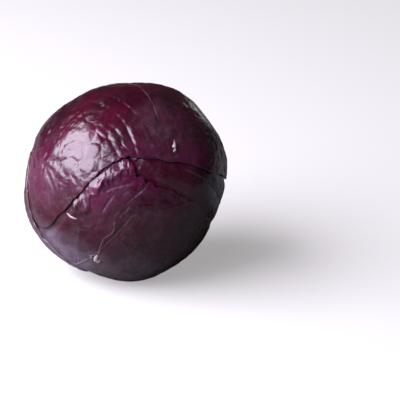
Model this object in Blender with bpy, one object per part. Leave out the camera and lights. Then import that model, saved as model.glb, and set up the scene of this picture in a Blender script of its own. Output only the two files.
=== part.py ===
"""A whole red cabbage head lying on its side, ready to rest on a table.

The head is built the way it grew: a tapering stem core, a tight heart of folded
leaves round it, and one closed sheet for each wrapper leaf, laid over the ones
inside it.  Metres, +Z up, the resting spot on the floor at z = 0.
"""
import math

import bmesh
import bpy
import numpy as np
from mathutils import Matrix, Vector

# Driving dimensions.
HEAD_RADIUS = 0.0800          # mean distance from the middle of the head to its outside
LONG_WAY_GAIN = 0.050         # how much longer the head is along its long way
RESTING_SPOT_RADIUS = 0.025   # the small flat the head settles on
STEM_END_RADIUS = 0.0160      # the cut end of the stem
STEM_TIP_RADIUS = 0.0050      # the growing tip deep in the heart
STEM_LENGTH = 0.072
STEM_END_INSET = 0.0010       # how far the cut end lies inside the outside shape
STEM_CUT_SHARE = 0.93         # the cut face's share of the end radius; the rest is bevelled
STEM_BEVEL_SHARE = 0.12       # the bevel's height, as a share of the end radius
STEM_SIDES = 28
STEM_TIP_STEPS = 5
LAMINA = 0.0011               # thickness of a leaf blade
RIB_BASE = 0.0020             # extra thickness where the midrib joins the stem
RIB_LONG, RIB_WIDE = 0.55, 0.35   # how far, in radians, it spreads along and across the leaf
LEAF_AIR = 0.0006             # air between two leaves
FACET_SAG = 0.330             # and room for flat facets: metres x (cells across) squared
MARGIN_CLEARANCE = 0.011      # an inner leaf stays low this far past an outer margin
MARGIN_RAMP = 0.016           # and then rises back to the outside over this width
HEART_GAP = 0.0004            # between the heart and the stem core
HEART_TUCK = 0.0015           # extra air round the heart
HEART_SUBDIVISIONS = 4

# The way the head lies: the crown points to the front, to the right and upwards.
CROWN = Vector((0.425, -0.763, 0.486)).normalized()
LONG_WAY = Vector((0.80, 0.22, 0.55)).normalized()
DOWN = Vector((0.0, 0.0, -1.0))

# Broad swellings and hollows of the outside: (direction, size, width in radians).
SWELLINGS = (
    ((-0.42, 0.34, 0.84), -0.026, 0.50),
    ((-0.92, -0.15, -0.36), 0.018, 0.35),
    ((0.62, 0.30, 0.72), 0.018, 0.35),
    ((0.45, -0.35, -0.82), 0.030, 0.40),
    ((0.30, 0.80, 0.50), -0.012, 0.50),
    ((0.95, -0.10, -0.25), -0.010, 0.50),
    ((0.20, -0.90, -0.30), 0.008, 0.40),
)
STEM_HOLLOW = 0.030           # the outside is a little hollow round the stem
STEM_HOLLOW_WIDTH = 0.45

# A leaf: name, polar angle of its middle from the stem, azimuth round the stem axis,
# its reach in degrees every 30 degrees round its own middle (0 is towards the crown,
# 90 towards growing azimuth), and the number of cells across its sheet.  Outermost first.
WRAPPERS = (
    ("trimmed_outer_leaf", 45, 215, (31, 37, 42, 27, 21, 23, 30, 34, 42, 48, 46, 36), 10),
    ("left_wrapper_leaf", 100, 95, (80, 78, 105, 117, 99, 79, 86, 78, 80, 88, 90, 84), 18),
    ("lower_wrapper_leaf", 100, 243, (66, 72, 80, 87, 88, 84, 86, 78, 76, 82, 88, 74), 22),
    ("right_wrapper_leaf", 98, 345, (104, 100, 92, 88, 74, 76, 84, 76, 74, 88, 92, 100), 18),
    ("under_wrapper_leaf", 98, 288, (92, 92, 88, 80, 70, 74, 84, 74, 70, 80, 88, 92), 15),
    ("upper_wrapper_leaf", 98, 50, (92, 92, 88, 80, 70, 74, 84, 74, 70, 80, 88, 92), 15),
    ("side_wrapper_leaf", 98, 165, (92, 92, 88, 80, 70, 74, 84, 74, 70, 80, 88, 92), 15),
)
INNER_LEAF_COUNT = 5
INNER_FIRST_AZIMUTH = 302
GOLDEN_ANGLE = 137.5          # the turn from one leaf to the next round a stem
INNER_REACH = (98, 94, 86, 78, 68, 74, 82, 74, 68, 78, 86, 94)
INNER_MIDDLE = 96
INNER_CELLS = 13

SIDE = (Vector((1.0, 0.0, 0.0)) - CROWN * CROWN.x).normalized()
OVER = CROWN.cross(SIDE)


def unit_rows(rows):
    """The rows of an array, each scaled to length one."""
    return rows / np.linalg.norm(rows, axis=-1, keepdims=True)


def outside_radius(ways):
    """Distance from the middle of the head to its outside along each unit direction."""
    along = ways @ np.array(LONG_WAY)
    radius = 1.0 + LONG_WAY_GAIN * (along ** 2 - 1.0 / 3.0)
    for direction, size, width in SWELLINGS:
        turn = np.arccos(np.clip(ways @ np.array(Vector(direction).normalized()), -1, 1))
        radius += size * np.exp(-(turn / width) ** 2)
    from_stem = np.arccos(np.clip(-(ways @ np.array(CROWN)), -1, 1))
    radius -= STEM_HOLLOW * np.exp(-(from_stem / STEM_HOLLOW_WIDTH) ** 2)
    return HEAD_RADIUS * radius


def resting_depth():
    """Distance from the middle of the head down to the plane it rests on."""
    under = outside_radius(np.array([DOWN]))[0]
    return math.sqrt(under ** 2 - RESTING_SPOT_RADIUS ** 2)


def settled_radius(ways):
    """The outside radius, pressed flat where the head rests."""
    downward = np.maximum(-ways[:, 2], 1e-6)
    return np.minimum(outside_radius(ways), resting_depth() / downward)


class Leaf:
    """One leaf of the head, in polar coordinates round its own middle."""

    def __init__(self, name, polar, azimuth, reach, cells):
        self.name = name
        self.cells = cells
        self.reach = np.radians(reach)
        polar, azimuth = math.radians(polar), math.radians(azimuth)
        outward = SIDE * math.cos(azimuth) + OVER * math.sin(azimuth)
        self.middle = np.array(outward * math.sin(polar) - CROWN * math.cos(polar))
        self.to_crown = np.array(outward * math.cos(polar) + CROWN * math.sin(polar))
        self.to_side = np.array(OVER * math.cos(azimuth) - SIDE * math.sin(azimuth))

    def margin(self, bearing):
        """How far the leaf reaches, as an angle, at each bearing round its middle."""
        count = len(self.reach)
        place = np.mod(bearing, 2 * math.pi) / (2 * math.pi) * count
        index = np.floor(place).astype(int)
        part = place - index
        before, start, end, after = (self.reach[(index + shift) % count] for shift in (-1, 0, 1, 2))
        return start + 0.5 * part * (
            end - before
            + part * (2 * before - 5 * start + 4 * end - after
                      + part * (3 * (start - end) + after - before)))

    def ways(self, bearing, turn):
        """Unit directions at an angle from the leaf's middle, along each bearing."""
        level = np.cos(bearing)[:, None] * self.to_crown + np.sin(bearing)[:, None] * self.to_side
        return np.cos(turn)[:, None] * self.middle + np.sin(turn)[:, None] * level

    def cover(self, ways):
        """1 under the leaf and just past its margin, falling to 0 further out."""
        turn = np.arccos(np.clip(ways @ self.middle, -1, 1))
        bearing = np.arctan2(ways @ self.to_side, ways @ self.to_crown)
        step, least_turn = 0.01, 0.2
        slope = (self.margin(bearing + step) - self.margin(bearing - step)) / (2 * step)
        slant = np.hypot(1.0, slope / np.maximum(np.sin(turn), least_turn))
        past = HEAD_RADIUS * (turn - self.margin(bearing)) / slant
        fall = np.clip((past - MARGIN_CLEARANCE) / MARGIN_RAMP, 0, 1)
        return 1 - fall ** 2 * (3 - 2 * fall)

    def rib_share(self, ways):
        """0 on the blade, rising to 1 along the midrib where it joins the stem."""
        from_stem = np.arccos(np.clip(-(ways @ np.array(CROWN)), -1, 1))
        sideways = np.arcsin(np.clip(ways @ self.to_side, -1, 1))
        return np.exp(-(from_stem / RIB_LONG) ** 2 - (sideways / RIB_WIDE) ** 2)

    def room(self, ways):
        """The depth this leaf takes up: its thickness, the air under it, and facet sag."""
        return LAMINA + RIB_BASE * self.rib_share(ways) + LEAF_AIR + FACET_SAG / self.cells ** 2


def head_leaves():
    """Every leaf of the head, from the outermost inwards."""
    leaves = [Leaf(*row) for row in WRAPPERS]
    for number in range(INNER_LEAF_COUNT):
        azimuth = INNER_FIRST_AZIMUTH + GOLDEN_ANGLE * number
        leaves.append(Leaf(f"inner_leaf_{number + 1}", INNER_MIDDLE, azimuth, INNER_REACH, INNER_CELLS))
    return leaves


def layer_radius(outer_leaves, ways):
    """The outside radius of whatever lies directly under these leaves."""
    radius = settled_radius(ways)
    for leaf in outer_leaves:
        radius = radius - leaf.room(ways) * leaf.cover(ways)
    return radius


def make_material(name, colour, roughness):
    material = bpy.data.materials.new(name)
    material.use_nodes = True
    shader = material.node_tree.nodes["Principled BSDF"]
    shader.inputs["Base Color"].default_value = (*colour, 1.0)
    shader.inputs["Roughness"].default_value = roughness
    shader.inputs["Metallic"].default_value = 0.0
    return material


def make_object(name, shape, material):
    """Turn a bmesh into a named, smooth-shaded object with one material."""
    mesh = bpy.data.meshes.new(name)
    shape.to_mesh(mesh)
    shape.free()
    mesh.shade_smooth()
    mesh.materials.append(material)
    made = bpy.data.objects.new(name, mesh)
    bpy.context.collection.objects.link(made)
    return made


def make_leaf(leaf, outer_leaves, material):
    """A square grid drawn out to the leaf's outline and bent over the leaves inside it."""
    sheet = bmesh.new()
    bmesh.ops.create_grid(sheet, x_segments=leaf.cells, y_segments=leaf.cells, size=1.0)
    flat = np.array([point.co for point in sheet.verts])
    across = flat[:, 0] * np.sqrt(1 - flat[:, 1] ** 2 / 2)
    along = flat[:, 1] * np.sqrt(1 - flat[:, 0] ** 2 / 2)
    bearing = np.arctan2(across, along)
    turn = np.hypot(across, along) * leaf.margin(bearing)
    ways = leaf.ways(bearing, turn)
    places = ways * layer_radius(outer_leaves, ways)[:, None]
    for point, place in zip(sheet.verts, places):
        point.co = place
    for face in sheet.faces:
        face.normal_update()
    if sum(face.normal.dot(face.calc_center_median()) for face in sheet.faces) < 0:
        bmesh.ops.reverse_faces(sheet, faces=sheet.faces)
    made = make_object(leaf.name, sheet, material)

    thick = made.vertex_groups.new(name="midrib_base")
    for index, share in enumerate(leaf.rib_share(ways)):
        thick.add([index], float(share), "REPLACE")
    blade = made.modifiers.new("blade_thickness", "SOLIDIFY")
    blade.thickness = LAMINA + RIB_BASE
    blade.offset = -1.0
    blade.vertex_group = thick.name
    blade.thickness_vertex_group = LAMINA / (LAMINA + RIB_BASE)
    return made


def stem_shape(extra):
    """The stem core as a turned solid, grown by an extra clearance, along its own +Z."""
    profile = []
    for step in range(STEM_TIP_STEPS + 1):
        angle = 0.5 * math.pi * step / STEM_TIP_STEPS
        profile.append((
            (STEM_TIP_RADIUS + extra) * math.sin(angle),
            STEM_LENGTH - STEM_TIP_RADIUS + (STEM_TIP_RADIUS + extra) * math.cos(angle)))
    profile.append((STEM_END_RADIUS + extra, STEM_END_RADIUS * STEM_BEVEL_SHARE))
    profile.append((STEM_END_RADIUS * STEM_CUT_SHARE + extra, -extra))
    profile.append((0.0, -extra))
    core = bmesh.new()
    points = [core.verts.new((across, 0.0, up)) for across, up in profile]
    edges = [core.edges.new(pair) for pair in zip(points, points[1:])]
    bmesh.ops.spin(core, geom=points + edges, cent=(0, 0, 0), axis=(0, 0, 1),
                   angle=2 * math.pi, steps=STEM_SIDES, use_merge=True)
    bmesh.ops.remove_doubles(core, verts=core.verts, dist=1e-6)
    bmesh.ops.recalc_face_normals(core, faces=core.faces)
    stem_end = outside_radius(np.array([-CROWN]))[0] - STEM_END_INSET
    turn = Vector((0, 0, 1)).rotation_difference(CROWN).to_matrix().to_4x4()
    bmesh.ops.transform(core, matrix=Matrix.Translation(-CROWN * stem_end) @ turn, verts=core.verts)
    return core


def make_heart(leaves, material):
    """The tight inner leaves as one solid, with a recess that the stem core fills."""
    ball = bmesh.new()
    bmesh.ops.create_icosphere(ball, subdivisions=HEART_SUBDIVISIONS, radius=1.0)
    ways = unit_rows(np.array([point.co for point in ball.verts]))
    places = ways * (layer_radius(leaves, ways) - HEART_TUCK)[:, None]
    for point, place in zip(ball.verts, places):
        point.co = place
    heart = make_object("heart_leaves", ball, material)
    cutter = make_object("stem_recess_cutter", stem_shape(HEART_GAP), material)
    cutter.hide_render = True
    cutter.display_type = "WIRE"
    recess = heart.modifiers.new("stem_recess", "BOOLEAN")
    recess.operation = "DIFFERENCE"
    recess.solver = "EXACT"
    recess.object = cutter
    return heart, cutter


def stand_on_floor(objects):
    """Move everything so that the box's bottom middle is the origin."""
    bpy.context.view_layer.update()
    corners = []
    for made in objects:
        corners += [made.matrix_world @ point.co for point in made.data.vertices]
    low = [min(corner[axis] for corner in corners) for axis in range(3)]
    high = [max(corner[axis] for corner in corners) for axis in range(3)]
    shift = Vector(((low[0] + high[0]) / 2, (low[1] + high[1]) / 2, -resting_depth()))
    for made in objects:
        made.location -= shift


def build():
    for old in list(bpy.data.objects):
        bpy.data.objects.remove(old, do_unlink=True)
    wine = make_material("outer_leaf", (0.085, 0.014, 0.040), 0.38)
    violet = make_material("inner_leaf", (0.19, 0.035, 0.12), 0.45)
    pale = make_material("stem_flesh", (0.76, 0.70, 0.55), 0.60)
    leaves = head_leaves()
    made = []
    for number, leaf in enumerate(leaves):
        material = wine if number < len(WRAPPERS) else violet
        made.append(make_leaf(leaf, leaves[:number], material))
    made += make_heart(leaves, violet)
    made.append(make_object("stem_core", stem_shape(0.0), pale))
    stand_on_floor(made)


build()
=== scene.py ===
"""The looks of a whole red cabbage head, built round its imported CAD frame.

The head is taken from the outside in: each leaf lies on whatever the leaves
outside it leave of the head's own shape.  Metres, +Z up.
"""
import math

import bpy
import numpy as np
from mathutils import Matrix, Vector
from mathutils.bvhtree import BVHTree


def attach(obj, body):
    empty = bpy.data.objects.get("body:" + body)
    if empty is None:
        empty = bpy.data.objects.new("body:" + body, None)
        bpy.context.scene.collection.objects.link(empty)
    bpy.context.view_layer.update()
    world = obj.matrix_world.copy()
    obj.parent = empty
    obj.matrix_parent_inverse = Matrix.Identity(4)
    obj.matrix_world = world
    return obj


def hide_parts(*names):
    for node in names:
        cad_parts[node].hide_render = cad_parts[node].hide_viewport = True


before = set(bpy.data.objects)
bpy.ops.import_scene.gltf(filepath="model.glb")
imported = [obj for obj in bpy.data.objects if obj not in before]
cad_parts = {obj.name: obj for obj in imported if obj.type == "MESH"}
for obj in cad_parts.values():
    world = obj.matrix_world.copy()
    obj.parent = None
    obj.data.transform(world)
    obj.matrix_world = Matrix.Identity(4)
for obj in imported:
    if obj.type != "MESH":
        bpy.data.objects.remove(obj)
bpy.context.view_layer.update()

# --- Trimmed outer leaf --------------------------------------------------------------
# The oldest leaf left on the head: a short, loosened blade of thick waxy tissue at the
# lower left, cut back when the head was trimmed.  It lies on all the other leaves, so
# the head's own shape, and the way any leaf is laid and finished, start here.

HEAD_RADIUS = 0.0800
HEAD_MIDDLE = np.array((-0.0006, -0.0004, 0.0761))
CROWN = Vector((0.425, -0.763, 0.486)).normalized()
SIDE = (Vector((1.0, 0.0, 0.0)) - CROWN * CROWN.x).normalized()
OVER = CROWN.cross(SIDE)
LONG_WAY = np.array(Vector((0.80, 0.22, 0.55)).normalized())
LONG_WAY_GAIN = 0.050
SWELLINGS = (
    ((-0.42, 0.34, 0.84), -0.026, 0.50),
    ((-0.92, -0.15, -0.36), 0.018, 0.35),
    ((0.62, 0.30, 0.72), 0.018, 0.35),
    ((0.45, -0.35, -0.82), 0.030, 0.40),
    ((0.30, 0.80, 0.50), -0.012, 0.50),
    ((0.95, -0.10, -0.25), -0.010, 0.50),
    ((0.20, -0.90, -0.30), 0.008, 0.40),
)
STEM_HOLLOW, STEM_HOLLOW_WIDTH = 0.030, 0.45
RESTING_DEPTH = float(HEAD_MIDDLE[2])
LUMP_SEED = 11
LUMP_BANDS = ((9, 4.0, 8.0, 0.00035), (14, 10.0, 18.0, 0.00016))
TABLE_CLEARANCE = 0.004


def smooth_step(low, high, value):
    share = np.clip((value - low) / (high - low), 0, 1)
    return share * share * (3 - 2 * share)


def turn_between(ways, direction):
    return np.arccos(np.clip(ways @ np.asarray(direction), -1, 1))


def lumps(ways, seed, bands):
    """Smooth unevenness over the head: waves in all directions, as (count, slow, fast, height)."""
    dice = np.random.default_rng(seed)
    height = np.zeros(ways.shape[:-1])
    for count, slow, fast, size in bands:
        for _ in range(count):
            wave = dice.normal(size=3)
            wave *= dice.uniform(slow, fast) / np.linalg.norm(wave)
            height = height + size * np.sin(ways @ wave + dice.uniform(0, 2 * math.pi))
    return height


def head_radius(ways):
    """The outside of the whole head along unit directions, pressed flat where it rests."""
    shape = 1.0 + LONG_WAY_GAIN * ((ways @ LONG_WAY) ** 2 - 1.0 / 3.0)
    for direction, size, width in SWELLINGS:
        turn = turn_between(ways, Vector(direction).normalized())
        shape = shape + size * np.exp(-(turn / width) ** 2)
    shape = shape - STEM_HOLLOW * np.exp(-(turn_between(ways, -CROWN) / STEM_HOLLOW_WIDTH) ** 2)
    radius = HEAD_RADIUS * shape + lumps(ways, LUMP_SEED, LUMP_BANDS)
    return np.minimum(radius, RESTING_DEPTH / np.maximum(-ways[..., 2], 1e-6))


class Leaf:
    """One leaf: its middle on the head, its outline, and how it sits against the next.

    Places on it are (u, v) in radians from its middle, u towards the crown and v to
    the side.  The outline is its reach in degrees at every 30 degrees of bearing.
    """

    def __init__(self, name, polar, azimuth, reach, seed, blade=0.0010, air=0.0007,
                 ramp=0.013, groove=0.0, crest=0.0, lift=0.0004, waves=0.9, tears=()):
        self.name = name
        self.seed = seed
        self.reach = np.radians(reach)
        self.blade, self.air, self.ramp = blade, air, ramp
        self.groove, self.crest, self.lift = groove, crest, lift
        self.tears = tears
        polar, azimuth = math.radians(polar), math.radians(azimuth)
        outward = SIDE * math.cos(azimuth) + OVER * math.sin(azimuth)
        self.middle = np.array(outward * math.sin(polar) - CROWN * math.cos(polar))
        self.to_crown = np.array(outward * math.cos(polar) + CROWN * math.sin(polar))
        self.to_side = np.array(OVER * math.cos(azimuth) - SIDE * math.sin(azimuth))
        dice = np.random.default_rng(seed)
        counts = np.array((5, 8, 13, 21, 34))
        self.wave_counts = counts + dice.integers(-1, 2, size=len(counts))
        self.wave_sizes = np.radians(waves) * np.array((0.8, 0.7, 0.5, 0.35, 0.22))
        self.wave_starts = dice.uniform(0, 2 * math.pi, size=len(counts))

    def margin(self, bearing):
        """The angle from the middle to the leaf's edge at each bearing."""
        count = len(self.reach)
        place = np.mod(bearing, 2 * math.pi) / (2 * math.pi) * count
        index = np.floor(place).astype(int)
        part = place - index
        before, start, end, after = (self.reach[(index + shift) % count] for shift in (-1, 0, 1, 2))
        edge = start + 0.5 * part * (
            end - before
            + part * (2 * before - 5 * start + 4 * end - after
                      + part * (3 * (start - end) + after - before)))
        for turns, size, begin in zip(self.wave_counts, self.wave_sizes, self.wave_starts):
            edge = edge + size * np.sin(turns * bearing + begin)
        for at, depth, width in self.tears:
            away = np.mod(bearing - math.radians(at) + math.pi, 2 * math.pi) - math.pi
            edge = edge - math.radians(depth) * np.exp(-np.abs(away / math.radians(width)) ** 1.5)
        return edge

    def ways(self, u, v):
        turn, bearing = np.hypot(u, v), np.arctan2(v, u)
        level = np.cos(bearing)[..., None] * self.to_crown + np.sin(bearing)[..., None] * self.to_side
        return np.cos(turn)[..., None] * self.middle + np.sin(turn)[..., None] * level

    def places(self, ways):
        turn = turn_between(ways, self.middle)
        bearing = np.arctan2(ways @ self.to_side, ways @ self.to_crown)
        return turn, bearing

    def past_margin(self, ways):
        """Metres outside the leaf's edge, less than 0 inside it."""
        turn, bearing = self.places(ways)
        step = 0.01
        slope = (self.margin(bearing + step) - self.margin(bearing - step)) / (2 * step)
        slant = np.hypot(1.0, slope / np.maximum(np.sin(turn), 0.2))
        return HEAD_RADIUS * (turn - self.margin(bearing)) / slant

    def thickness(self, ways):
        """The blade, growing into a thick white midrib where it joins the stem."""
        from_stem = turn_between(ways, -CROWN)
        sideways = np.arcsin(np.clip(ways @ self.to_side, -1, 1))
        return self.blade + RIB_BASE * np.exp(-(from_stem / 0.50) ** 2 - (sideways / 0.22) ** 2)


RIB_BASE = 0.0022
RIB_SEED_STEP, TORN_SEED_STEP, CREST_SEED_STEP = 500, 7, 9
GROOVE_WIDTH = 0.0045
LIP_BANDS = ((5, 8.0, 16.0, 0.35), (5, 20.0, 36.0, 0.35), (7, 45.0, 80.0, 0.30))
LIP_WIDTH, LIP_FALL = 0.0105, 0.0022
LIP_MIDDLE = np.array(Vector((-0.25, -0.92, 0.28)).normalized())
LIP_SPAN = (0.40, 0.52)
laid = []


def resting_on(outer, ways):
    """The surface left for the next leaf under these outer leaves, and how bare it is."""
    radius = head_radius(ways)
    bare = np.ones(radius.shape)
    for leaf in outer:
        past = leaf.past_margin(ways)
        under = 1 - smooth_step(0.0005, leaf.ramp, past)
        radius = radius - (leaf.thickness(ways) + leaf.air) * under
        radius = radius - leaf.groove * np.exp(-(past / GROOVE_WIDTH) ** 2)
        if leaf.crest:
            torn = lumps(ways, leaf.seed + TORN_SEED_STEP, LIP_BANDS)
            lip = 1 - smooth_step(0.0, LIP_FALL, past - LIP_WIDTH - 0.0018 * torn)
            lip = lip * smooth_step(0.0003, 0.0030, past)
            lip = lip * (1 - smooth_step(*LIP_SPAN, turn_between(ways, LIP_MIDDLE)))
            crest = leaf.crest * (0.8 + 0.40 * lumps(ways, leaf.seed + CREST_SEED_STEP, LIP_BANDS))
            radius = radius + crest * lip
        bare = bare * smooth_step(0.0, 0.004, past)
    return radius, bare


def flat_sheet(cells):
    """A square of cells pulled out to a round, as unit places, with its quads."""
    steps = np.linspace(-1, 1, cells + 1)
    across, along = np.meshgrid(steps, steps, indexing="ij")
    round_across = across * np.sqrt(1 - along ** 2 / 2)
    round_along = along * np.sqrt(1 - across ** 2 / 2)
    number = np.arange((cells + 1) ** 2).reshape(cells + 1, cells + 1)
    quads = np.stack((number[:-1, :-1], number[:-1, 1:], number[1:, 1:], number[1:, :-1]), axis=-1)
    return round_along.ravel(), round_across.ravel(), quads.reshape(-1, 4)


def new_mesh_object(name, points, faces=(), edges=()):
    mesh = bpy.data.meshes.new(name)
    mesh.from_pydata(np.asarray(points).tolist(), np.asarray(edges).tolist(), np.asarray(faces).tolist())
    mesh.update()
    made = bpy.data.objects.new(name, mesh)
    bpy.context.scene.collection.objects.link(made)
    return made


def add_numbers(made, name, values):
    made.data.attributes.new(name, "FLOAT", "POINT").data.foreach_set(
        "value", np.asarray(values, np.float32))


RIB_STEP = 0.018


def grow_ribs(leaf, bend=0.0, pairs=8, ribs_to=2.0):
    """The leaf's ribs from base to tip, as lines of (u, v, half width, height, paleness)."""
    dice = np.random.default_rng(leaf.seed + RIB_SEED_STEP)
    base, tip = -0.975 * leaf.reach[6], 0.66 * leaf.reach[0]
    along = np.linspace(base, tip, 90)
    share = (along - base) / (tip - base)
    sway = bend * np.sin(math.pi * share) + 0.012 * np.sin(5.0 * share + leaf.seed)
    taper = (1 - share) ** 1.5
    sunk = 0.45 + 0.55 * smooth_step(0.0, 0.12, share)
    lines = [np.stack((along, sway, (0.0007 + 0.0030 * taper) * sunk, (0.00020 + 0.0012 * taper) * sunk,
                       0.05 + 0.60 * taper ** 3), axis=1)]
    for number in range(2 * pairs):
        side = 1 if number % 2 else -1
        start = (number + 0.6 + dice.uniform(-0.2, 0.2)) / (2 * pairs + 1.5)
        spot = int(start * (len(along) - 1))
        place, heading = np.array((along[spot], sway[spot])), dice.uniform(0.75, 1.0) - 0.35 * start
        bend_back = dice.uniform(0.10, 0.35)
        strength = (1 - start) ** 0.7 * dice.uniform(0.6, 1.1)
        lines += branch(leaf, dice, place, side * heading, -side * bend_back, strength, 1, ribs_to)
    return lines


def branch(leaf, dice, place, heading, bend, strength, forks, ribs_to):
    """One side rib wandering out to the margin, with its own smaller forks."""
    step, line, found = RIB_STEP, [], []
    length = 0
    next_fork = dice.uniform(0.25, 0.60)
    while length < (1.5 if forks else 0.45):
        turn = np.hypot(*place)
        if place[0] > ribs_to or turn > leaf.margin(np.arctan2(place[1], place[0])) - 0.05:
            break
        fade = max(0.0, 1 - length / 1.3) * strength
        line.append((place[0], place[1], 0.0005 + 0.0004 * fade, 0.00010 + 0.00022 * fade,
                     0.02 + 0.20 * fade ** 2))
        heading += bend * step + dice.normal() * 0.035
        place = place + step * np.array((math.cos(heading), math.sin(heading)))
        length += step
        if forks and length > next_fork:
            lean = dice.choice((-1, 1)) * dice.uniform(0.35, 0.6)
            found += branch(leaf, dice, place, heading + lean, -0.9 * lean, 0.55 * strength,
                            forks - 1, ribs_to)
            next_fork += dice.uniform(0.35, 0.70)
    return ([np.array(line)] if len(line) > 4 else []) + found


def smooth_line(corners, spacing=RIB_STEP):
    """A line drawn smoothly through its corners: u, v in degrees, the other columns in mm or shares."""
    corners = np.array(corners, float)
    corners[:, :2] = np.radians(corners[:, :2])
    corners[:, 2:4] *= 0.001
    padded = np.vstack((2 * corners[0] - corners[1], corners, 2 * corners[-1] - corners[-2]))
    drawn = []
    for before, start, end, after in zip(padded, padded[1:], padded[2:], padded[3:]):
        steps = max(2, int(np.hypot(*(end - start)[:2]) / spacing))
        for part in np.arange(steps) / steps:
            drawn.append(start + 0.5 * part * (
                end - before + part * (2 * before - 5 * start + 4 * end - after
                                       + part * (3 * (start - end) + after - before))))
    return np.array(drawn + [corners[-1]])


def fold_guide(leaf, folds, outer):
    """Fold lines of (u, v, half width, height) as loose edges lying on the leaf."""
    points, edges, numbers = [], [], []
    for fold in folds:
        ways = leaf.ways(fold[:, 0], fold[:, 1])
        radius, _ = resting_on(outer, ways)
        first = len(points)
        points += list(HEAD_MIDDLE + ways * radius[:, None])
        edges += [(first + k, first + k + 1) for k in range(len(fold) - 1)]
        numbers += list(fold[:, 2:4])
    guide = new_mesh_object(leaf.name + "_folds", points, edges=edges)
    numbers = np.array(numbers)
    add_numbers(guide, "fold_width", numbers[:, 0])
    add_numbers(guide, "fold_height", numbers[:, 1])
    guide.hide_render = True
    guide.display_type = "WIRE"
    return guide


def add_node(tree, kind, inputs=None, **settings):
    """A node with its settings made and each input set, or fed from another's output."""
    node = tree.nodes.new(kind)
    for name, value in settings.items():
        setattr(node, name, value)
    for name, value in (inputs or {}).items():
        if isinstance(value, bpy.types.NodeSocket):
            tree.links.new(value, node.inputs[name])
        else:
            node.inputs[name].default_value = value
    return node


def math_node(tree, operation, first, second=0.0):
    return add_node(tree, "ShaderNodeMath", {0: first, 1: second}, operation=operation).outputs[0]


def plus(tree, first, second):
    return math_node(tree, "ADD", first, second)


def times(tree, first, second):
    return math_node(tree, "MULTIPLY", first, second)


def bell(tree, distance, width):
    """1 on a line, falling away to 0 about two widths from it."""
    share = math_node(tree, "DIVIDE", distance, width)
    return math_node(tree, "EXPONENT", times(tree, times(tree, share, share), -1.0))


def buckle_pattern(tree, spot, fineness):
    """Distance to the nearest crease of the buckles, which are bent out of straight."""
    warp = add_node(tree, "ShaderNodeTexNoise", {"Vector": spot, "Scale": 55.0, "Detail": 2.0})
    bent = add_node(tree, "ShaderNodeVectorMath",
                    {0: warp.outputs["Color"], 1: (0.014, 0.014, 0.014)}, operation="MULTIPLY").outputs[0]
    bent = add_node(tree, "ShaderNodeVectorMath", {0: spot, 1: bent}, operation="ADD").outputs[0]
    return add_node(tree, "ShaderNodeTexVoronoi", {"Vector": bent, "Scale": fineness},
                    feature="DISTANCE_TO_EDGE").outputs["Distance"]


def new_tree(name, inputs):
    """An empty geometry node tree with a Geometry input and output and these inputs."""
    tree = bpy.data.node_groups.new(name, "GeometryNodeTree")
    tree.is_modifier = True
    for label, kind in (("Geometry", "Geometry"),) + inputs:
        tree.interface.new_socket(label, in_out="INPUT", socket_type="NodeSocket" + kind)
    tree.interface.new_socket("Geometry", in_out="OUTPUT", socket_type="NodeSocketGeometry")
    return tree, tree.nodes.new("NodeGroupInput").outputs


def named_number(tree, name):
    return add_node(tree, "GeometryNodeInputNamedAttribute", {"Name": name},
                    data_type="FLOAT").outputs["Attribute"]


def finish_tree(tree, geometry, skin):
    geometry = add_node(tree, "GeometryNodeRealizeInstances", {"Geometry": geometry}).outputs[0]
    geometry = add_node(tree, "GeometryNodeSetMaterial", {"Geometry": geometry, "Material": skin}).outputs[0]
    tree.links.new(geometry, tree.nodes.new("NodeGroupOutput").inputs[0])
    return tree


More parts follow.
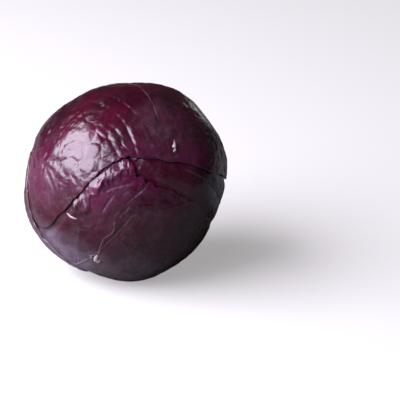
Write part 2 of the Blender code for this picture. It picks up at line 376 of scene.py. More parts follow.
def relief_tree():
    """Geometry nodes that raise a leaf's folds and buckle the blade between its ribs."""
    tree, given = new_tree("leaf_relief", (
        ("Folds", "Object"), ("Buckle depth", "Float"), ("Buckle size", "Float"), ("Skin", "Material")))
    spot = tree.nodes.new("GeometryNodeInputPosition").outputs[0]
    outward = tree.nodes.new("GeometryNodeInputNormal").outputs[0]
    folds = add_node(tree, "GeometryNodeObjectInfo", {"Object": given["Folds"]}).outputs["Geometry"]
    away = add_node(tree, "GeometryNodeProximity", {"Geometry": folds, "Sample Position": spot},
                    target_element="EDGES").outputs["Distance"]
    nearest = add_node(tree, "GeometryNodeSampleNearest", {"Geometry": folds, "Sample Position": spot},
                       domain="POINT").outputs["Index"]

    def at_nearest(name):
        return add_node(tree, "GeometryNodeSampleIndex",
                        {"Geometry": folds, "Value": named_number(tree, name), "Index": nearest},
                        data_type="FLOAT", domain="POINT").outputs[0]

    fold = times(tree, bell(tree, away, at_nearest("fold_width")), at_nearest("fold_height"))

    # Between the ribs the blade stands in flat-sided cushions with sharp valleys.
    fineness = math_node(tree, "DIVIDE", 1.0, given["Buckle size"])
    crease = buckle_pattern(tree, spot, fineness)
    height = times(tree, math_node(tree, "SUBTRACT", 1.0, bell(tree, crease, 0.20)), 0.55)
    for fine, share in ((0.55, 3.2), (1.3, 2.4), (2.9, 0.7)):
        wave = add_node(tree, "ShaderNodeTexNoise",
                        {"Vector": spot, "Scale": times(tree, fineness, fine), "Detail": 1.0})
        valley = math_node(tree, "ABSOLUTE", math_node(tree, "SUBTRACT", wave.outputs["Fac"], 0.5))
        height = plus(tree, height, times(tree, valley, share))
    patches = add_node(tree, "ShaderNodeTexNoise", {"Vector": spot, "Scale": 24.0, "Detail": 1.0})
    patchy = add_node(tree, "ShaderNodeMapRange",
                      {0: patches.outputs["Fac"], 1: 0.38, 2: 0.60, 3: 0.50, 4: 1.0}).outputs[0]
    height = times(tree, times(tree, height, patchy), given["Buckle depth"])
    height = times(tree, plus(tree, fold, height), named_number(tree, "bare"))
    lift = add_node(tree, "ShaderNodeVectorMath", {0: outward, "Scale": height}, operation="SCALE").outputs[0]
    blade = add_node(tree, "GeometryNodeSetPosition",
                     {"Geometry": given["Geometry"], "Offset": lift}).outputs[0]
    return finish_tree(tree, blade, given["Skin"])


def rib_tree():
    """Geometry nodes that run a round rib along each line, as thick as the line says."""
    tree, given = new_tree("leaf_ribs", (("Sides", "Int"), ("Skin", "Material")))
    line = add_node(tree, "GeometryNodeMeshToCurve", {"Mesh": given["Geometry"]}).outputs[0]
    round_edge = add_node(tree, "GeometryNodeCurvePrimitiveCircle",
                          {"Resolution": given["Sides"], "Radius": 1.0}).outputs[0]
    ribs = add_node(tree, "GeometryNodeCurveToMesh",
                    {"Curve": line, "Profile Curve": round_edge, "Scale": named_number(tree, "rib_size"),
                     "Fill Caps": True}).outputs[0]
    ribs = add_node(tree, "GeometryNodeSetShadeSmooth", {"Geometry": ribs}).outputs[0]
    return finish_tree(tree, ribs, given["Skin"])


RELIEF, RIBS = relief_tree(), rib_tree()
BUCKLE_SIZE = 0.0110


def grown(made, tree, **values):
    """Run a node tree on an object and keep the result as its plain mesh."""
    modifier = made.modifiers.new(tree.name, "NODES")
    modifier.node_group = tree
    for item in tree.interface.items_tree:
        if item.in_out == "INPUT" and item.name in values:
            modifier[item.identifier] = values[item.name]
    seen = made.evaluated_get(bpy.context.evaluated_depsgraph_get())
    mesh = bpy.data.meshes.new_from_object(seen)
    made.modifiers.remove(modifier)
    old, made.data = made.data, mesh
    bpy.data.meshes.remove(old)
    return made


def leaf_skin(name, wine, violet, shade, wax_and_reflection_grey, bloom_amount, rib, matt=0.0):
    """Waxy red cabbage skin: redder and darker above and low down, with painted shade at the far upper left,
    and a grey wax bloom at the lower left and underneath that is partly a painted reflection of the table.
    """
    skin = bpy.data.materials.new(name)
    skin.use_nodes = True
    tree = skin.node_tree
    shader = tree.nodes["Principled BSDF"]
    spot = tree.nodes.new("ShaderNodeTexCoord").outputs["Object"]

    def noise(scale, detail, low, high):
        made = add_node(tree, "ShaderNodeTexNoise", {"Vector": spot, "Scale": scale, "Detail": detail})
        return add_node(tree, "ShaderNodeMapRange", {0: made.outputs["Fac"], 1: low, 2: high}).outputs[0]

    def blend(amount, first, second):
        made = add_node(tree, "ShaderNodeMix", data_type="RGBA")
        for place, value in ((0, amount), (6, first), (7, second)):
            if isinstance(value, bpy.types.NodeSocket):
                tree.links.new(value, made.inputs[place])
            else:
                made.inputs[place].default_value = value
        return made.outputs[2]

    def turned_to(way, low, high):
        """How far this side of the head is turned to a direction, 0 to 1."""
        way = Vector(way).normalized() / HEAD_RADIUS
        middle = add_node(tree, "ShaderNodeVectorMath", {0: spot, 1: tuple(HEAD_MIDDLE)},
                          operation="SUBTRACT").outputs[0]
        along = add_node(tree, "ShaderNodeVectorMath", {0: middle, 1: way}, operation="DOT_PRODUCT")
        return add_node(tree, "ShaderNodeMapRange", {0: along.outputs["Value"], 1: low, 2: high}).outputs[0]

    # The sides of the head that differ.
    upper = turned_to((-0.1, 0.1, 1.0), 0.40, 0.88)
    lower_side = turned_to((0.1, 0.0, -1.0), -0.30, -0.02)
    right_front = turned_to((0.854, -0.512, 0.085), 0.40, 0.75)
    # Painted shade: the far upper left side is darkened in the colour.
    painted_shade_upper_left = turned_to((-0.75, 0.35, 0.62), 0.70, 0.90)
    # Underneath, the grey bloom is partly a painted reflection of the table.
    underside_bloom_and_reflection = turned_to((-0.1, -0.5, -1.0), 0.75, 0.97)
    wrinkled = turned_to(WRINKLED_WAY, 0.86, 0.97)

    # Wine over violet, with dark clouds over both, and painted shade darkening the far upper left.
    reddened = plus(tree, times(tree, upper, 0.72),
                         times(tree, noise(26.0, 4.0, 0.36, 0.64), 0.45))
    for side, share in ((lower_side, 0.55), (right_front, 0.15)):
        reddened = plus(tree, reddened, times(tree, side, share))
    colour = blend(reddened, (*violet, 1), (*wine, 1))
    shaded = times(tree, noise(34.0, 5.0, 0.36, 0.60),
                       plus(tree, times(tree, upper, 0.50), 0.45))
    for side, share in ((painted_shade_upper_left, 0.6), (lower_side, 0.22)):
        shaded = plus(tree, shaded, times(tree, side, share))
    colour = blend(shaded, colour, (*shade, 1))

    # The wax bloom: thick grey at the lower left and underneath, where it is partly real bloom and partly a
    # painted reflection of the pale table; a trace near the crown, a faint cloudiness elsewhere.
    low_left_bloom_and_reflection = plus(tree, turned_to(BLOOM_AND_REFLECTION_WAY, 0.80, 0.98), times(tree, underside_bloom_and_reflection, 0.5))
    near_crown = times(tree, turned_to(CROWN_BLOOM_WAY, 0.92, 0.995), 0.13)
    cloudy = times(tree, noise(85.0, 3.0, 0.44, 0.62),
                       math_node(tree, "SUBTRACT", 0.055, times(tree, upper, 0.05)))
    bloom_and_painted_reflection = plus(tree, plus(tree, low_left_bloom_and_reflection, near_crown), bloom_amount)
    bloom_and_painted_reflection = plus(tree, times(tree, noise(36.0, 5.0, 0.30, 0.60), bloom_and_painted_reflection), cloudy)
    colour = blend(bloom_and_painted_reflection, colour, (*wax_and_reflection_grey, 1))

    # A net of fine veins, and the pale ribs and broken edges.
    coarse_net = bell(tree, buckle_pattern(tree, spot, 1 / BUCKLE_SIZE), 0.07)
    fine_net = bell(tree, buckle_pattern(tree, spot, 2.6 / BUCKLE_SIZE), 0.09)
    net = plus(tree, times(tree, coarse_net, 0.7),
                    times(tree, fine_net, 0.5))
    net = times(tree, net, noise(70.0, 3.0, 0.40, 0.62))
    net = times(tree, net, math_node(tree, "SUBTRACT", 1.0, times(tree, upper, 0.75)))
    colour = blend(times(tree, net, 0.045), colour, (*rib, 1))
    pale = add_node(tree, "ShaderNodeAttribute", attribute_name="pale").outputs["Fac"]
    colour = blend(pale, colour, (*rib, 1))
    broken = add_node(tree, "ShaderNodeMapRange", {0: pale, 1: 0.80, 2: 1.0}).outputs[0]
    colour = blend(broken, colour, BROKEN_FLESH)
    tree.links.new(colour, shader.inputs["Base Color"])

    # Shiny, and duller under the bloom and along the veins.
    rough = plus(tree, 0.16 + matt, times(tree, noise(110.0, 4.0, 0.42, 0.66), 0.10))
    for cover, share in ((bloom_and_painted_reflection, 0.25), (net, 0.22)):
        rough = plus(tree, rough, times(tree, cover, share))
    tree.links.new(rough, shader.inputs["Roughness"])

    # Fine grain with sunken veins, and wide creases where the leaf is wrinkled.
    grain = add_node(tree, "ShaderNodeTexNoise",
                     {"Vector": spot, "Scale": 420.0, "Detail": 3.0}).outputs["Fac"]
    wide_net = bell(tree, buckle_pattern(tree, spot, 0.9 / BUCKLE_SIZE), 0.15)
    depth = plus(tree, net, times(tree, times(tree, wide_net, wrinkled), 7.0))
    fine = math_node(tree, "SUBTRACT", times(tree, grain, 0.20), depth)
    bump = add_node(tree, "ShaderNodeBump", {"Strength": 0.30, "Distance": 0.0002, "Height": fine})
    tree.links.new(bump.outputs[0], shader.inputs["Normal"])
    tree.links.new(bump.outputs[0], shader.inputs["Coat Normal"])
    shader.inputs["Specular Tint"].default_value = (0.84, 0.93, 1.0, 1)
    shader.inputs["Coat Weight"].default_value = 0.30
    shader.inputs["Coat Roughness"].default_value = 0.18
    return skin


BROKEN_FLESH = (0.36, 0.32, 0.31, 1)
# The lower left way of the grey bloom, which there is partly a painted reflection of the table.
BLOOM_AND_REFLECTION_WAY, CROWN_BLOOM_WAY = (-0.55, -0.45, -0.70), (0.40, -0.52, 0.75)
WRINKLED_WAY = (-0.40, -0.72, 0.56)
OUTER_TONES = dict(wine=(0.044, 0.0006, 0.0070), violet=(0.105, 0.0075, 0.050),
                   shade=(0.020, 0.0008, 0.0065), wax_and_reflection_grey=(0.175, 0.122, 0.178), bloom_amount=0.0,
                   rib=(0.46, 0.28, 0.37))
OUTER_SKIN = leaf_skin("waxy_wine_leaf", **OUTER_TONES)
OUTER_RIB_SKIN = leaf_skin("wine_leaf_rib", matt=0.35, **OUTER_TONES)
DEEP_SKIN = leaf_skin("deep_wine_leaf", **{**OUTER_TONES, "violet": (0.062, 0.0015, 0.016)})


def lay_leaf(leaf, cells, skin, rib_skin, buckle=0.00065, folds=(), ridges=(),
             ribs=(), cut_edge=0.0, **grow):
    """Lay one leaf on the leaves inside it, as one closed sheet, with its ribs on its outside."""
    outer = list(laid)
    unit_u, unit_v, quads = flat_sheet(cells)
    bearing, share = np.arctan2(unit_v, unit_u), np.hypot(unit_u, unit_v)
    turn = share * leaf.margin(bearing)
    ways = leaf.ways(turn * np.cos(bearing), turn * np.sin(bearing))
    radius, bare = resting_on(outer, ways)
    own_past = leaf.past_margin(ways)
    flutter = 0.6 + 0.4 * np.sin(11 * bearing + leaf.seed) * np.sin(5 * bearing + 2 * leaf.seed)
    lift = leaf.lift * flutter * np.exp(own_past / 0.006) * bare
    resting = smooth_step(TABLE_CLEARANCE, 0.0, HEAD_MIDDLE[2] + ways[:, 2] * radius)
    lift = lift * (1 - resting)
    points = HEAD_MIDDLE + ways * (radius + lift)[:, None]
    blade = new_mesh_object(leaf.name, points, quads)
    blade.data.shade_smooth()
    add_numbers(blade, "bare", bare * (1 - resting))
    lines = grow_ribs(leaf, **grow)
    midrib = lines[0] * (1, 1, 2.2, 0, 0) + (0, 0, 0.0012, 0.0005, 0)
    ridges = [smooth_line(ridge) for ridge in ridges]
    guide = fold_guide(leaf, [midrib] + ridges + [smooth_line(fold) for fold in folds], outer)
    grown(blade, RELIEF, Folds=guide, Skin=skin, **{"Buckle depth": buckle, "Buckle size": BUCKLE_SIZE})
    bpy.data.objects.remove(guide, do_unlink=True)
    from_stem = turn_between(ways, -CROWN)
    sideways = np.arcsin(np.clip(ways @ leaf.to_side, -1, 1))
    base_pale = 0.45 * np.exp(-(from_stem / 0.42) ** 2 - (sideways / 0.20) ** 2)
    add_numbers(blade, "pale", cut_edge * np.exp(own_past / 0.0009) + base_pale)
    sheet = sheet_points(blade)
    close_blade(blade, cells, leaf.thickness(ways))
    lines += [smooth_line(rib) for rib in ribs] + [ridge * (1, 1, 0.45, 0.15, 1) for ridge in ridges]
    lay_ribs(leaf, lines, BVHTree.FromPolygons(sheet.tolist(), quads.tolist()), outer, rib_skin)
    finish_piece(blade, leaf, skin)
    laid.append(leaf)


def sheet_points(made):
    places = np.empty(len(made.data.vertices) * 3, np.float32)
    made.data.vertices.foreach_get("co", places)
    return places.reshape(-1, 3).astype(float)


def finish_piece(made, leaf, skin):
    made.data.materials.clear()
    made.data.materials.append(skin)
    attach(made, "root")
    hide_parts(leaf.name)


RIB_ROUNDEST = 0.0055


def lay_ribs(leaf, lines, sheet, outer, skin):
    """Run the ribs over the outside of the finished blade, wherever it is bare."""
    points, edges, numbers = [], [], []
    for line in lines:
        ways = leaf.ways(line[:, 0], line[:, 1])
        _, bare = resting_on(outer, ways)
        joined = False
        for way, free, (_, _, half_width, height, pale) in zip(ways, bare, line):
            hit, normal, _, _ = sheet.ray_cast(HEAD_MIDDLE, way)
            height_over_table = HEAD_MIDDLE[2] + way[2] * HEAD_RADIUS
            if hit is None or free < 0.5 or height_over_table < TABLE_CLEARANCE:
                joined = False
                continue
            outward = normal if normal.dot(Vector(way)) > 0 else -normal
            size = min((half_width ** 2 + height ** 2) / (2 * height), RIB_ROUNDEST)
            points.append(hit + outward * (height - size))
            numbers.append((size, pale))
            if joined:
                edges.append((len(points) - 2, len(points) - 1))
            joined = True
    if not edges:
        return
    ribs = new_mesh_object(leaf.name + "_ribs", points, edges=edges)
    numbers = np.array(numbers)
    add_numbers(ribs, "rib_size", numbers[:, 0])
    add_numbers(ribs, "pale", numbers[:, 1])
    grown(ribs, RIBS, Sides=8, Skin=skin)
    finish_piece(ribs, leaf, skin)


def close_blade(blade, cells, thickness, skip=4):
    """Give the fine outer sheet a coarser inner side and join the two round the margin."""
    mesh = blade.data
    places = sheet_points(blade)
    count = len(places)
    normals = np.empty(count * 3, np.float32)
    mesh.vertices.foreach_get("normal", normals)
    normals = normals.reshape(-1, 3)
    quads = np.array([face.vertices for face in mesh.polygons])
    if np.einsum("ij,ij->i", normals, places - HEAD_MIDDLE).sum() < 0:
        quads, normals = quads[:, ::-1], -normals
    number = np.arange(count).reshape(cells + 1, cells + 1)
    coarse = number[::skip, ::skip]
    inner = places[coarse.ravel()] - normals[coarse.ravel()] * thickness[coarse.ravel(), None]
    under = count + np.arange(coarse.size).reshape(coarse.shape)
    inner_quads = np.stack((under[:-1, :-1], under[:-1, 1:], under[1:, 1:], under[1:, :-1]), axis=-1)
    inner_quads = inner_quads.reshape(-1, 4)
    first = quads[0].tolist()
    forward = [number[0, 0], number[0, 1]]
    turned = first[(first.index(forward[0]) + 1) % 4] != forward[1]
    if not turned:
        inner_quads = inner_quads[:, ::-1]
    rim = []
    for fine, rough in ((number[0, :], under[0, :]), (number[:, -1], under[:, -1]),
                        (number[-1, ::-1], under[-1, ::-1]), (number[::-1, 0], under[::-1, 0])):
        for k in range(len(rough) - 1):
            stretch = fine[k * skip:(k + 1) * skip + 1]
            for a, b in zip(stretch, stretch[1:]):
                rim.append((b, a, rough[k]))
            rim.append((rough[k], rough[k + 1], stretch[-1]))
    rim = np.array(rim)
    if turned:
        rim = rim[:, ::-1]
    pale = np.empty(count, np.float32)
    mesh.attributes["pale"].data.foreach_get("value", pale)
    closed = bpy.data.meshes.new(blade.name)
    closed.from_pydata(np.vstack((places, inner)).tolist(), [],
                       quads.tolist() + inner_quads.tolist() + rim.tolist())
    closed.update()
    closed.shade_smooth()
    old, blade.data = blade.data, closed
    bpy.data.meshes.remove(old)
    add_numbers(blade, "pale", np.concatenate((pale, pale[coarse.ravel()])))


trimmed = Leaf("trimmed_outer_leaf", 45, 215, (31, 37, 42, 27, 21, 23, 30, 34, 42, 48, 46, 36),
               seed=3, blade=0.0009, air=0.0003, ramp=0.012, lift=0.0002, waves=1.2)
lay_leaf(trimmed, 120, OUTER_SKIN, OUTER_RIB_SKIN, pairs=4, cut_edge=0.3)

# --- Left wrapper leaf ---------------------------------------------------------------
# The largest leaf that shows.  It comes from the stem behind, over the top of the head
# to the crown, and its dark edge runs down the front to the lower left.
left = Leaf("left_wrapper_leaf", 100, 95, (80, 78, 105, 117, 99, 79, 86, 78, 80, 88, 90, 84),
            seed=8, blade=0.0010, air=0.0005, ramp=0.008, groove=0.0004, crest=0.0014, lift=0.0001,
            waves=0.8, tears=((22, 1.6, 1.4), (26, 1.2, 1.2), (31, 0.7, 1.0), (35, -0.6, 1.2),
                              (41, -2.6, 9), (45, 0.8, 1.2), (50, -0.7, 1.5), (56, 0.9, 1.3)))
lay_leaf(left, 236, OUTER_SKIN, OUTER_RIB_SKIN, pairs=5, bend=0.02, ribs_to=0.15, ribs=(
    ((66, -9, .7, .2, .1), (69, -8.6, 1.2, .8, .7), (70.6, -8.2, 1.9, 1.6, 1), (71.6, -7.4, 1.7, 1.5, 1)),
    ((72.2, -9.2, .8, .5, .9), (73, -8.2, 1.3, 1.0, 1), (73.4, -7.0, .9, .7, .9)),
), ridges=(
    ((14, 33, 1.3, .10, .02), (22, 31, 1.4, .3, .08), (30, 29, 1.5, .55, .25), (36, 27, 1.3, .15, .02)),
    ((40, 26, 1.3, .15, .02), (49, 24, 1.5, .55, .28), (61, 23, 1.4, .45, .12), (74, 23, 1.2, .15, .03)),
    ((20, 24, 1.2, .10, .02), (35, 18, 1.5, .50, .22), (48, 14, 1.4, .35, .06),
     (57, 10, 1.4, .40, .12), (65, 8, 1.4, .35, .06), (72, 4, 1.2, .10, .02)),
    ((38, 40, 1.2, .10, .02), (48, 37, 1.4, .40, .10), (56, 37, 1.5, .45, .20), (67, 36, 1.2, .30, .15)),
), folds=(
    ((23, 53, 1.2, .3), (32, 49, 1.2, .5), (38, 48, 1.2, .3)),
    ((47, 33, 1.6, .4), (56, 30, 1.6, .6), (64, 32, 1.4, .4)),
    ((2, 76, 1.1, -.3), (21, 78, 1.1, -.4), (35, 78, 1.1, -.45), (44, 77, 1.0, -.3),
     (56, 67, 1.0, -.2), (61, 61, 1.0, -.1)),
    ((22, 79, 1.6, .3), (34, 82, 1.6, .5), (43, 81, 1.4, .3)),
    ((34, 83, 1.4, .2), (41, 90, 1.4, .4), (46, 97, 1.4, .2)),
    ((42, 56, 1.4, -.5), (44, 53, 1.4, -.5)),
    ((19, 82, 1.4, .3), (33, 90, 1.4, .5), (40, 97, 1.4, .3)),
    ((41, 3, 3.0, .3), (55, -2, 3.0, .6), (65, -3, 2.4, .3)),
))

# --- Lower wrapper leaf --------------------------------------------------------------
# It comes round from below, carries the head's weight on its flat spot, and rises in a
# crumpled, torn lip just under the left leaf's edge.
lower = Leaf("lower_wrapper_leaf", 100, 243, (66, 72, 80, 87, 88, 84, 86, 78, 76, 82, 88, 74),
             seed=21, blade=0.0011, air=0.0008, ramp=0.012, groove=0.0003, lift=0.0003,
             waves=0.9, tears=((-5, 3, 2), (-12, 4, 3), (2, 2, 2)))
lay_leaf(lower, 236, OUTER_SKIN, OUTER_RIB_SKIN, pairs=5, bend=-.02, ribs_to=.0, ridges=(
    ((45, -23, .95, .31, .1), (50, -20, 1, .56, .25), (59, -13, .95, .37, .1)),
    ((33, -16, .95, .37, .1), (39, -17, .95, .62, .25), (47, -18, .95, .37, .1)),
    ((49, -14, .95, .37, .1), (53, -12, .95, .5, .2)),
    ((47, -8, .95, .37, .1), (55, -6, 1, .62, .2), (61, -4, .95, .56, .2), (65, -5, .95, .31, .1)),
    ((36, -9, .95, .37, .1), (40, -9, .95, .43, .2)),
    ((38, -6, .95, .43, .1), (47, -5, .95, .5, .2)),
    ((23, -13, .95, .25, .05), (29, -15, .95, .31, .1)),
    ((51, 0, .95, .31, .05), (58, 4, .95, .37, .1)),
    ((52, 10, .95, .25, .05), (56, 8, .95, .31, .1)),
), folds=(
    ((5, -1.6, 1.5, -.8), (2.4, -.4, 1.6, -1.3), (1.8, 1.8, 1.4, -.8)),
), ribs=(
    ((34, -6, .7, .15, .05), (28, -3, .8, .25, .10), (20, -4, .8, .25, .08), (9, 0, 1.0, .5, .3)),
    ((8, .2, 1.0, .6, .7), (5.6, .6, 2.2, 1.8, 1), (4.2, 1.6, 2.5, 2.1, 1)),
    ((5.8, 2.8, 1.0, .7, 1), (4.4, 3.2, 1.9, 1.5, 1), (3.2, 2.4, 1.4, 1.0, 1)),
    ((14, -30, .5, .2, .7), (16, -27, 1.0, .5, 1.0), (18, -24, .6, .2, .8)),
))

# --- Right wrapper leaf --------------------------------------------------------------
# Smooth and dark red, it passes under both the others and closes over the crown.
right = Leaf("right_wrapper_leaf", 98, 345, (104, 100, 92, 88, 74, 76, 84, 76, 74, 88, 92, 100),
             seed=34, ramp=0.012, lift=0.0004)
lay_leaf(right, 200, DEEP_SKIN, OUTER_RIB_SKIN, buckle=0.0003, pairs=5)

# --- Under, upper and side wrapper leaves --------------------------------------------
# Full leaves that show only where the outer ones part, round the stem and at the back.
MIDDLE_REACH = (92, 92, 88, 80, 70, 74, 84, 74, 70, 80, 88, 92)
for name, azimuth, seed in (("under_wrapper_leaf", 288, 45), ("upper_wrapper_leaf", 50, 52),
                            ("side_wrapper_leaf", 165, 67)):
    lay_leaf(Leaf(name, 98, azimuth, MIDDLE_REACH, seed=seed), 120, OUTER_SKIN, OUTER_RIB_SKIN, pairs=4)

# --- Inner leaves --------------------------------------------------------------------
# Paler leaves folded round the heart, one golden angle on from the last.  Only their
# thick bases show, deep in the hollow round the stem.
INNER_TONES = dict(wine=(0.16, 0.022, 0.085), violet=(0.20, 0.05, 0.15), shade=(0.10, 0.02, 0.06),
                   wax_and_reflection_grey=(0.30, 0.20, 0.28), bloom_amount=0.25, rib=(0.70, 0.62, 0.62))
INNER_SKIN = leaf_skin("violet_inner_leaf", **INNER_TONES)
INNER_RIB_SKIN = leaf_skin("inner_leaf_rib", matt=0.25, **INNER_TONES)
INNER_REACH = (98, 94, 86, 78, 68, 74, 82, 74, 68, 78, 86, 94)
GOLDEN_ANGLE = 137.5
for number in range(5):
    leaf = Leaf(f"inner_leaf_{number + 1}", 96, 302 + GOLDEN_ANGLE * number, INNER_REACH, seed=80 + number)
    lay_leaf(leaf, 64, INNER_SKIN, INNER_RIB_SKIN, pairs=3)

# --- Heart ---------------------------------------------------------------------------
# The tight innermost leaves, kept as the frame's own solid, out of sight.
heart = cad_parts["heart_leaves"]
heart.data.materials.clear()
heart.data.materials.append(INNER_SKIN)

# --- Stem core -----------------------------------------------------------------------
# The cut butt of the stem.  A knife has left it slightly dished and scored: pale moist
# pith, a ring of woody bundles and a purplish rind, browned where it has dried.
STEM_RADIUS, STEM_TIP_RADIUS, STEM_DISH = 0.0160, 0.0050, 0.0010
BUNDLES, BUNDLE_RING, BUNDLE_DEPTH = 34, 0.70, 0.00045
SCORE_DEPTH, SCORE_FINENESS = 0.00004, 2500.0
EDGE_START, EDGE_ROUNDING = 0.93, 0.0016
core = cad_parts["stem_core"]
core_places = sheet_points(core)
core_places = np.array([core.matrix_world @ Vector(place) for place in core_places])
along_stem = (core_places - HEAD_MIDDLE) @ np.array(CROWN)
STEM_CUT, STEM_TOP = float(along_stem.min()), float(along_stem.max())
stem_dice = np.random.default_rng(5)
rim_waves = stem_dice.uniform(0, 2 * math.pi, size=(2, 4))


def stem_outline(turn):
    """The stem's radius at each turn: not quite round, with the stubs of the leaf bases."""
    outline = STEM_RADIUS * np.ones_like(turn)
    for count, size, start in zip((2, 3, 5, 11), (0.0008, 0.0006, 0.0004, 0.0002), rim_waves[0]):
        outline += size * np.sin(count * turn + start)
    return outline


rings, spokes = 46, 168
turns = np.linspace(0, 2 * math.pi, spokes, endpoint=False)
points, faces, dryness = [], [], []
outline = stem_outline(turns)
for ring in range(1, rings + 1):
    share = ring / rings
    bundle = np.exp(-((share - BUNDLE_RING) / 0.045) ** 2)
    bundle = bundle * (0.5 + 0.5 * np.cos(BUNDLES * turns + 0.8 * np.sin(3 * turns)))
    knife = SCORE_FINENESS * share * outline * np.sin(turns - 0.5) + 0.9 * np.sin(2.0 * turns)
    score = SCORE_DEPTH * np.sin(knife) * (share < EDGE_START)
    height = STEM_CUT + STEM_DISH * (1 - share ** 2) * 0.6 - BUNDLE_DEPTH * bundle + score
    height = height + EDGE_ROUNDING * smooth_step(EDGE_START, 1.0, share)
    across = share * outline
    points.append(np.stack((across * np.cos(turns), across * np.sin(turns), height), axis=1))
    dryness.append(np.full(spokes, smooth_step(0.80, 0.97, share)) + 0.35 * bundle)
for depth, flare in ((0.0030, 0.0000), (0.0060, 0.0022), (0.0110, 0.0030), (0.022, 0.0), (0.040, 0.0)):
    share = depth / (STEM_TOP - STEM_CUT)
    across = (outline + flare) * (1 - share) + STEM_TIP_RADIUS * share
    points.append(np.stack((across * np.cos(turns), across * np.sin(turns),
                            np.full(spokes, STEM_CUT + depth)), axis=1))
    dryness.append(np.full(spokes, 0.75 * math.exp(-depth / 0.008)))
levels = len(points)
points = np.vstack(points + [np.array([[0, 0, STEM_CUT + 0.6 * STEM_DISH], [0, 0, STEM_TOP]])])
dryness = np.concatenate(dryness + [np.array([0.1, 0.0])])
for level in range(levels - 1):
    for spoke in range(spokes):
        a, b = level * spokes + spoke, level * spokes + (spoke + 1) % spokes
        faces.append((a, b, b + spokes, a + spokes))
hub, tip = levels * spokes, levels * spokes + 1
for spoke in range(spokes):
    following = (spoke + 1) % spokes
    faces.append((hub, spoke, following))
    faces.append((tip, (levels - 1) * spokes + following, (levels - 1) * spokes + spoke))
stem_points = (HEAD_MIDDLE + points[:, :1] * np.array(SIDE) + points[:, 1:2] * np.array(OVER)
               + points[:, 2:] * np.array(CROWN))
stem_mesh = bpy.data.meshes.new("stem_core_cut")
stem_mesh.from_pydata(stem_points.tolist(), [], faces)
stem_mesh.update()
stem_mesh.shade_smooth()
stem = bpy.data.objects.new("stem_core_cut", stem_mesh)
bpy.context.scene.collection.objects.link(stem)
add_numbers(stem, "dry", dryness)
off_middle = np.concatenate((np.hypot(points[:-2, 0], points[:-2, 1]), [0, 0]))
add_numbers(stem, "from_pith", off_middle / STEM_RADIUS)

flesh = bpy.data.materials.new("stem_flesh")
flesh.use_nodes = True
tree = flesh.node_tree
shader = tree.nodes["Principled BSDF"]
spot = tree.nodes.new("ShaderNodeTexCoord").outputs["Object"]
from_pith = add_node(tree, "ShaderNodeAttribute", attribute_name="from_pith").outputs["Fac"]
dry = add_node(tree, "ShaderNodeAttribute", attribute_name="dry").outputs["Fac"]
rings_colour = add_node(tree, "ShaderNodeValToRGB", {"Fac": from_pith})
ramp = rings_colour.color_ramp
ramp.elements[0].color = (0.66, 0.60, 0.42, 1)
ramp.elements[1].position, ramp.elements[1].color = 1.0, (0.34, 0.22, 0.24, 1)
for place, colour in ((0.55, (0.70, 0.64, 0.47, 1)), (0.68, (0.50, 0.44, 0.28, 1)),
                      (0.76, (0.66, 0.60, 0.44, 1)), (0.92, (0.58, 0.50, 0.40, 1))):
    ramp.elements.new(place).color = colour
fibre = add_node(tree, "ShaderNodeTexNoise", {"Vector": spot, "Scale": 900.0, "Detail": 4.0}).outputs["Fac"]
stain = add_node(tree, "ShaderNodeTexNoise", {"Vector": spot, "Scale": 150.0, "Detail": 4.0}).outputs["Fac"]
stain = add_node(tree, "ShaderNodeMapRange", {0: stain, 1: 0.42, 2: 0.70, 3: 0.0, 4: 0.45}).outputs[0]


def tinted(amount, first, second):
    mix = add_node(tree, "ShaderNodeMix", data_type="RGBA")
    tree.links.new(amount, mix.inputs[0])
    tree.links.new(first, mix.inputs[6])
    mix.inputs[7].default_value = second
    return mix.outputs[2]


colour = tinted(stain, rings_colour.outputs["Color"], (0.36, 0.25, 0.13, 1))
dried = times(tree, dry, plus(tree, 0.45, times(tree, fibre, 0.6)))
colour = tinted(dried, colour, (0.20, 0.12, 0.075, 1))
tree.links.new(colour, shader.inputs["Base Color"])
stem_rough = plus(tree, 0.42, times(tree, dry, 0.35))
tree.links.new(stem_rough, shader.inputs["Roughness"])
bump = add_node(tree, "ShaderNodeBump", {"Strength": 0.5, "Distance": 0.0003, "Height": fibre})
tree.links.new(bump.outputs[0], shader.inputs["Normal"])
shader.inputs["Subsurface Weight"].default_value = 0.15
shader.inputs["Subsurface Radius"].default_value = (0.004, 0.003, 0.0015)
stem.data.materials.append(flesh)
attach(stem, "root")
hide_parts("stem_core")

# --- Table, light and camera ---------------------------------------------------------
# A plain pale table top, a large soft light with a brighter middle at the upper left, a
# weak one behind at the right, and a long lens.
TABLE_REACH = 6
table_corners = [(x * TABLE_REACH, y * TABLE_REACH, 0) for x, y in ((-1, -1), (1, -1), (1, 1), (-1, 1))]
floor = new_mesh_object("table_top", table_corners, [(0, 1, 2, 3)])
white = bpy.data.materials.new("white_table")
white.use_nodes = True
paint = white.node_tree.nodes["Principled BSDF"]
straight = white.node_tree.nodes.new("ShaderNodeLightPath").outputs["Is Camera Ray"]
tone = add_node(white.node_tree, "ShaderNodeMapRange", {0: straight, 3: 0.13, 4: 0.47}).outputs[0]
white.node_tree.links.new(tone, paint.inputs["Base Color"])
glow = times(white.node_tree, straight, 0.36)
white.node_tree.links.new(glow, paint.inputs["Emission Strength"])
paint.inputs["Emission Color"].default_value = (1.0, 0.96, 0.98, 1)
paint.inputs["Roughness"].default_value = 0.9
floor.data.materials.append(white)

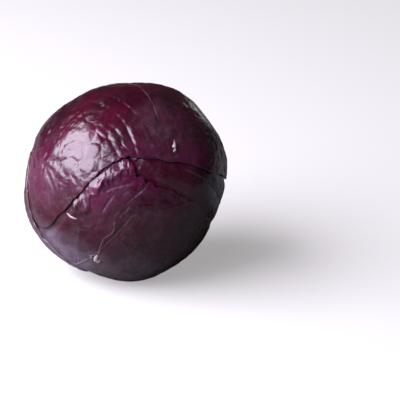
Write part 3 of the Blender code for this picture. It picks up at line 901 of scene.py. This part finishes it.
LIGHT_DISTANCE = 1.5
for name, way, width, height, power in (("softbox_panel", (-0.74, -0.31, 0.58), 2.9, 1.9, 43),
                                        ("softbox_middle", (-0.75, -0.26, 0.60), 1.75, 1.3, 56)):
    way = Vector(way).normalized()
    softbox = bpy.data.objects.new(name, bpy.data.lights.new(name, "AREA"))
    softbox.data.shape = "RECTANGLE"
    softbox.data.size, softbox.data.size_y = width, height
    softbox.data.color = (0.94, 0.90, 1.0)
    softbox.data.energy = power
    softbox.location = Vector(HEAD_MIDDLE) + way * LIGHT_DISTANCE
    softbox.rotation_euler = way.to_track_quat("Z", "Y").to_euler()
    bpy.context.scene.collection.objects.link(softbox)

rim_way = Vector((0.42, 0.90, 0.10)).normalized()
rim = bpy.data.objects.new("rim_light", bpy.data.lights.new("rim_light", "AREA"))
rim.data.size = 0.3
rim.data.energy = 0.35
rim.location = Vector(HEAD_MIDDLE) + rim_way * LIGHT_DISTANCE
rim.rotation_euler = rim_way.to_track_quat("Z", "Y").to_euler()
bpy.context.scene.collection.objects.link(rim)

room = bpy.data.worlds.new("pale_room")
room.use_nodes = True
tree = room.node_tree
back = tree.nodes["Background"]
back.inputs["Color"].default_value = (1, 1, 1, 1)
back.inputs["Strength"].default_value = 0.035
seen = add_node(tree, "ShaderNodeBackground", {"Color": (1, 1, 1, 1), "Strength": 1.2})
ray = tree.nodes.new("ShaderNodeLightPath").outputs["Is Camera Ray"]
mixed = add_node(tree, "ShaderNodeMixShader", {0: ray, 1: back.outputs[0], 2: seen.outputs[0]})
tree.links.new(mixed.outputs[0], tree.nodes["World Output"].inputs["Surface"])
bpy.context.scene.world = room
bpy.context.scene.view_settings.view_transform = "Standard"

CAMERA_HEIGHT_ANGLE = math.radians(22)
CAMERA_DISTANCE = 1.9
FRAME_WIDTH = 0.3225
AIM_RIGHT, AIM_DOWN = 0.0598, 0.0165
camera = bpy.data.objects.new("camera", bpy.data.cameras.new("camera"))
toward = Vector((0, -math.cos(CAMERA_HEIGHT_ANGLE), math.sin(CAMERA_HEIGHT_ANGLE)))
upward = Vector((0, math.sin(CAMERA_HEIGHT_ANGLE), math.cos(CAMERA_HEIGHT_ANGLE)))
aim = Vector(HEAD_MIDDLE) + Vector((AIM_RIGHT, 0, 0)) - upward * AIM_DOWN
camera.location = aim + toward * CAMERA_DISTANCE
camera.rotation_euler = toward.to_track_quat("Z", "Y").to_euler()
camera.data.lens = camera.data.sensor_width * CAMERA_DISTANCE / FRAME_WIDTH
camera.data.clip_end = 20
bpy.context.scene.collection.objects.link(camera)
bpy.context.scene.camera = camera
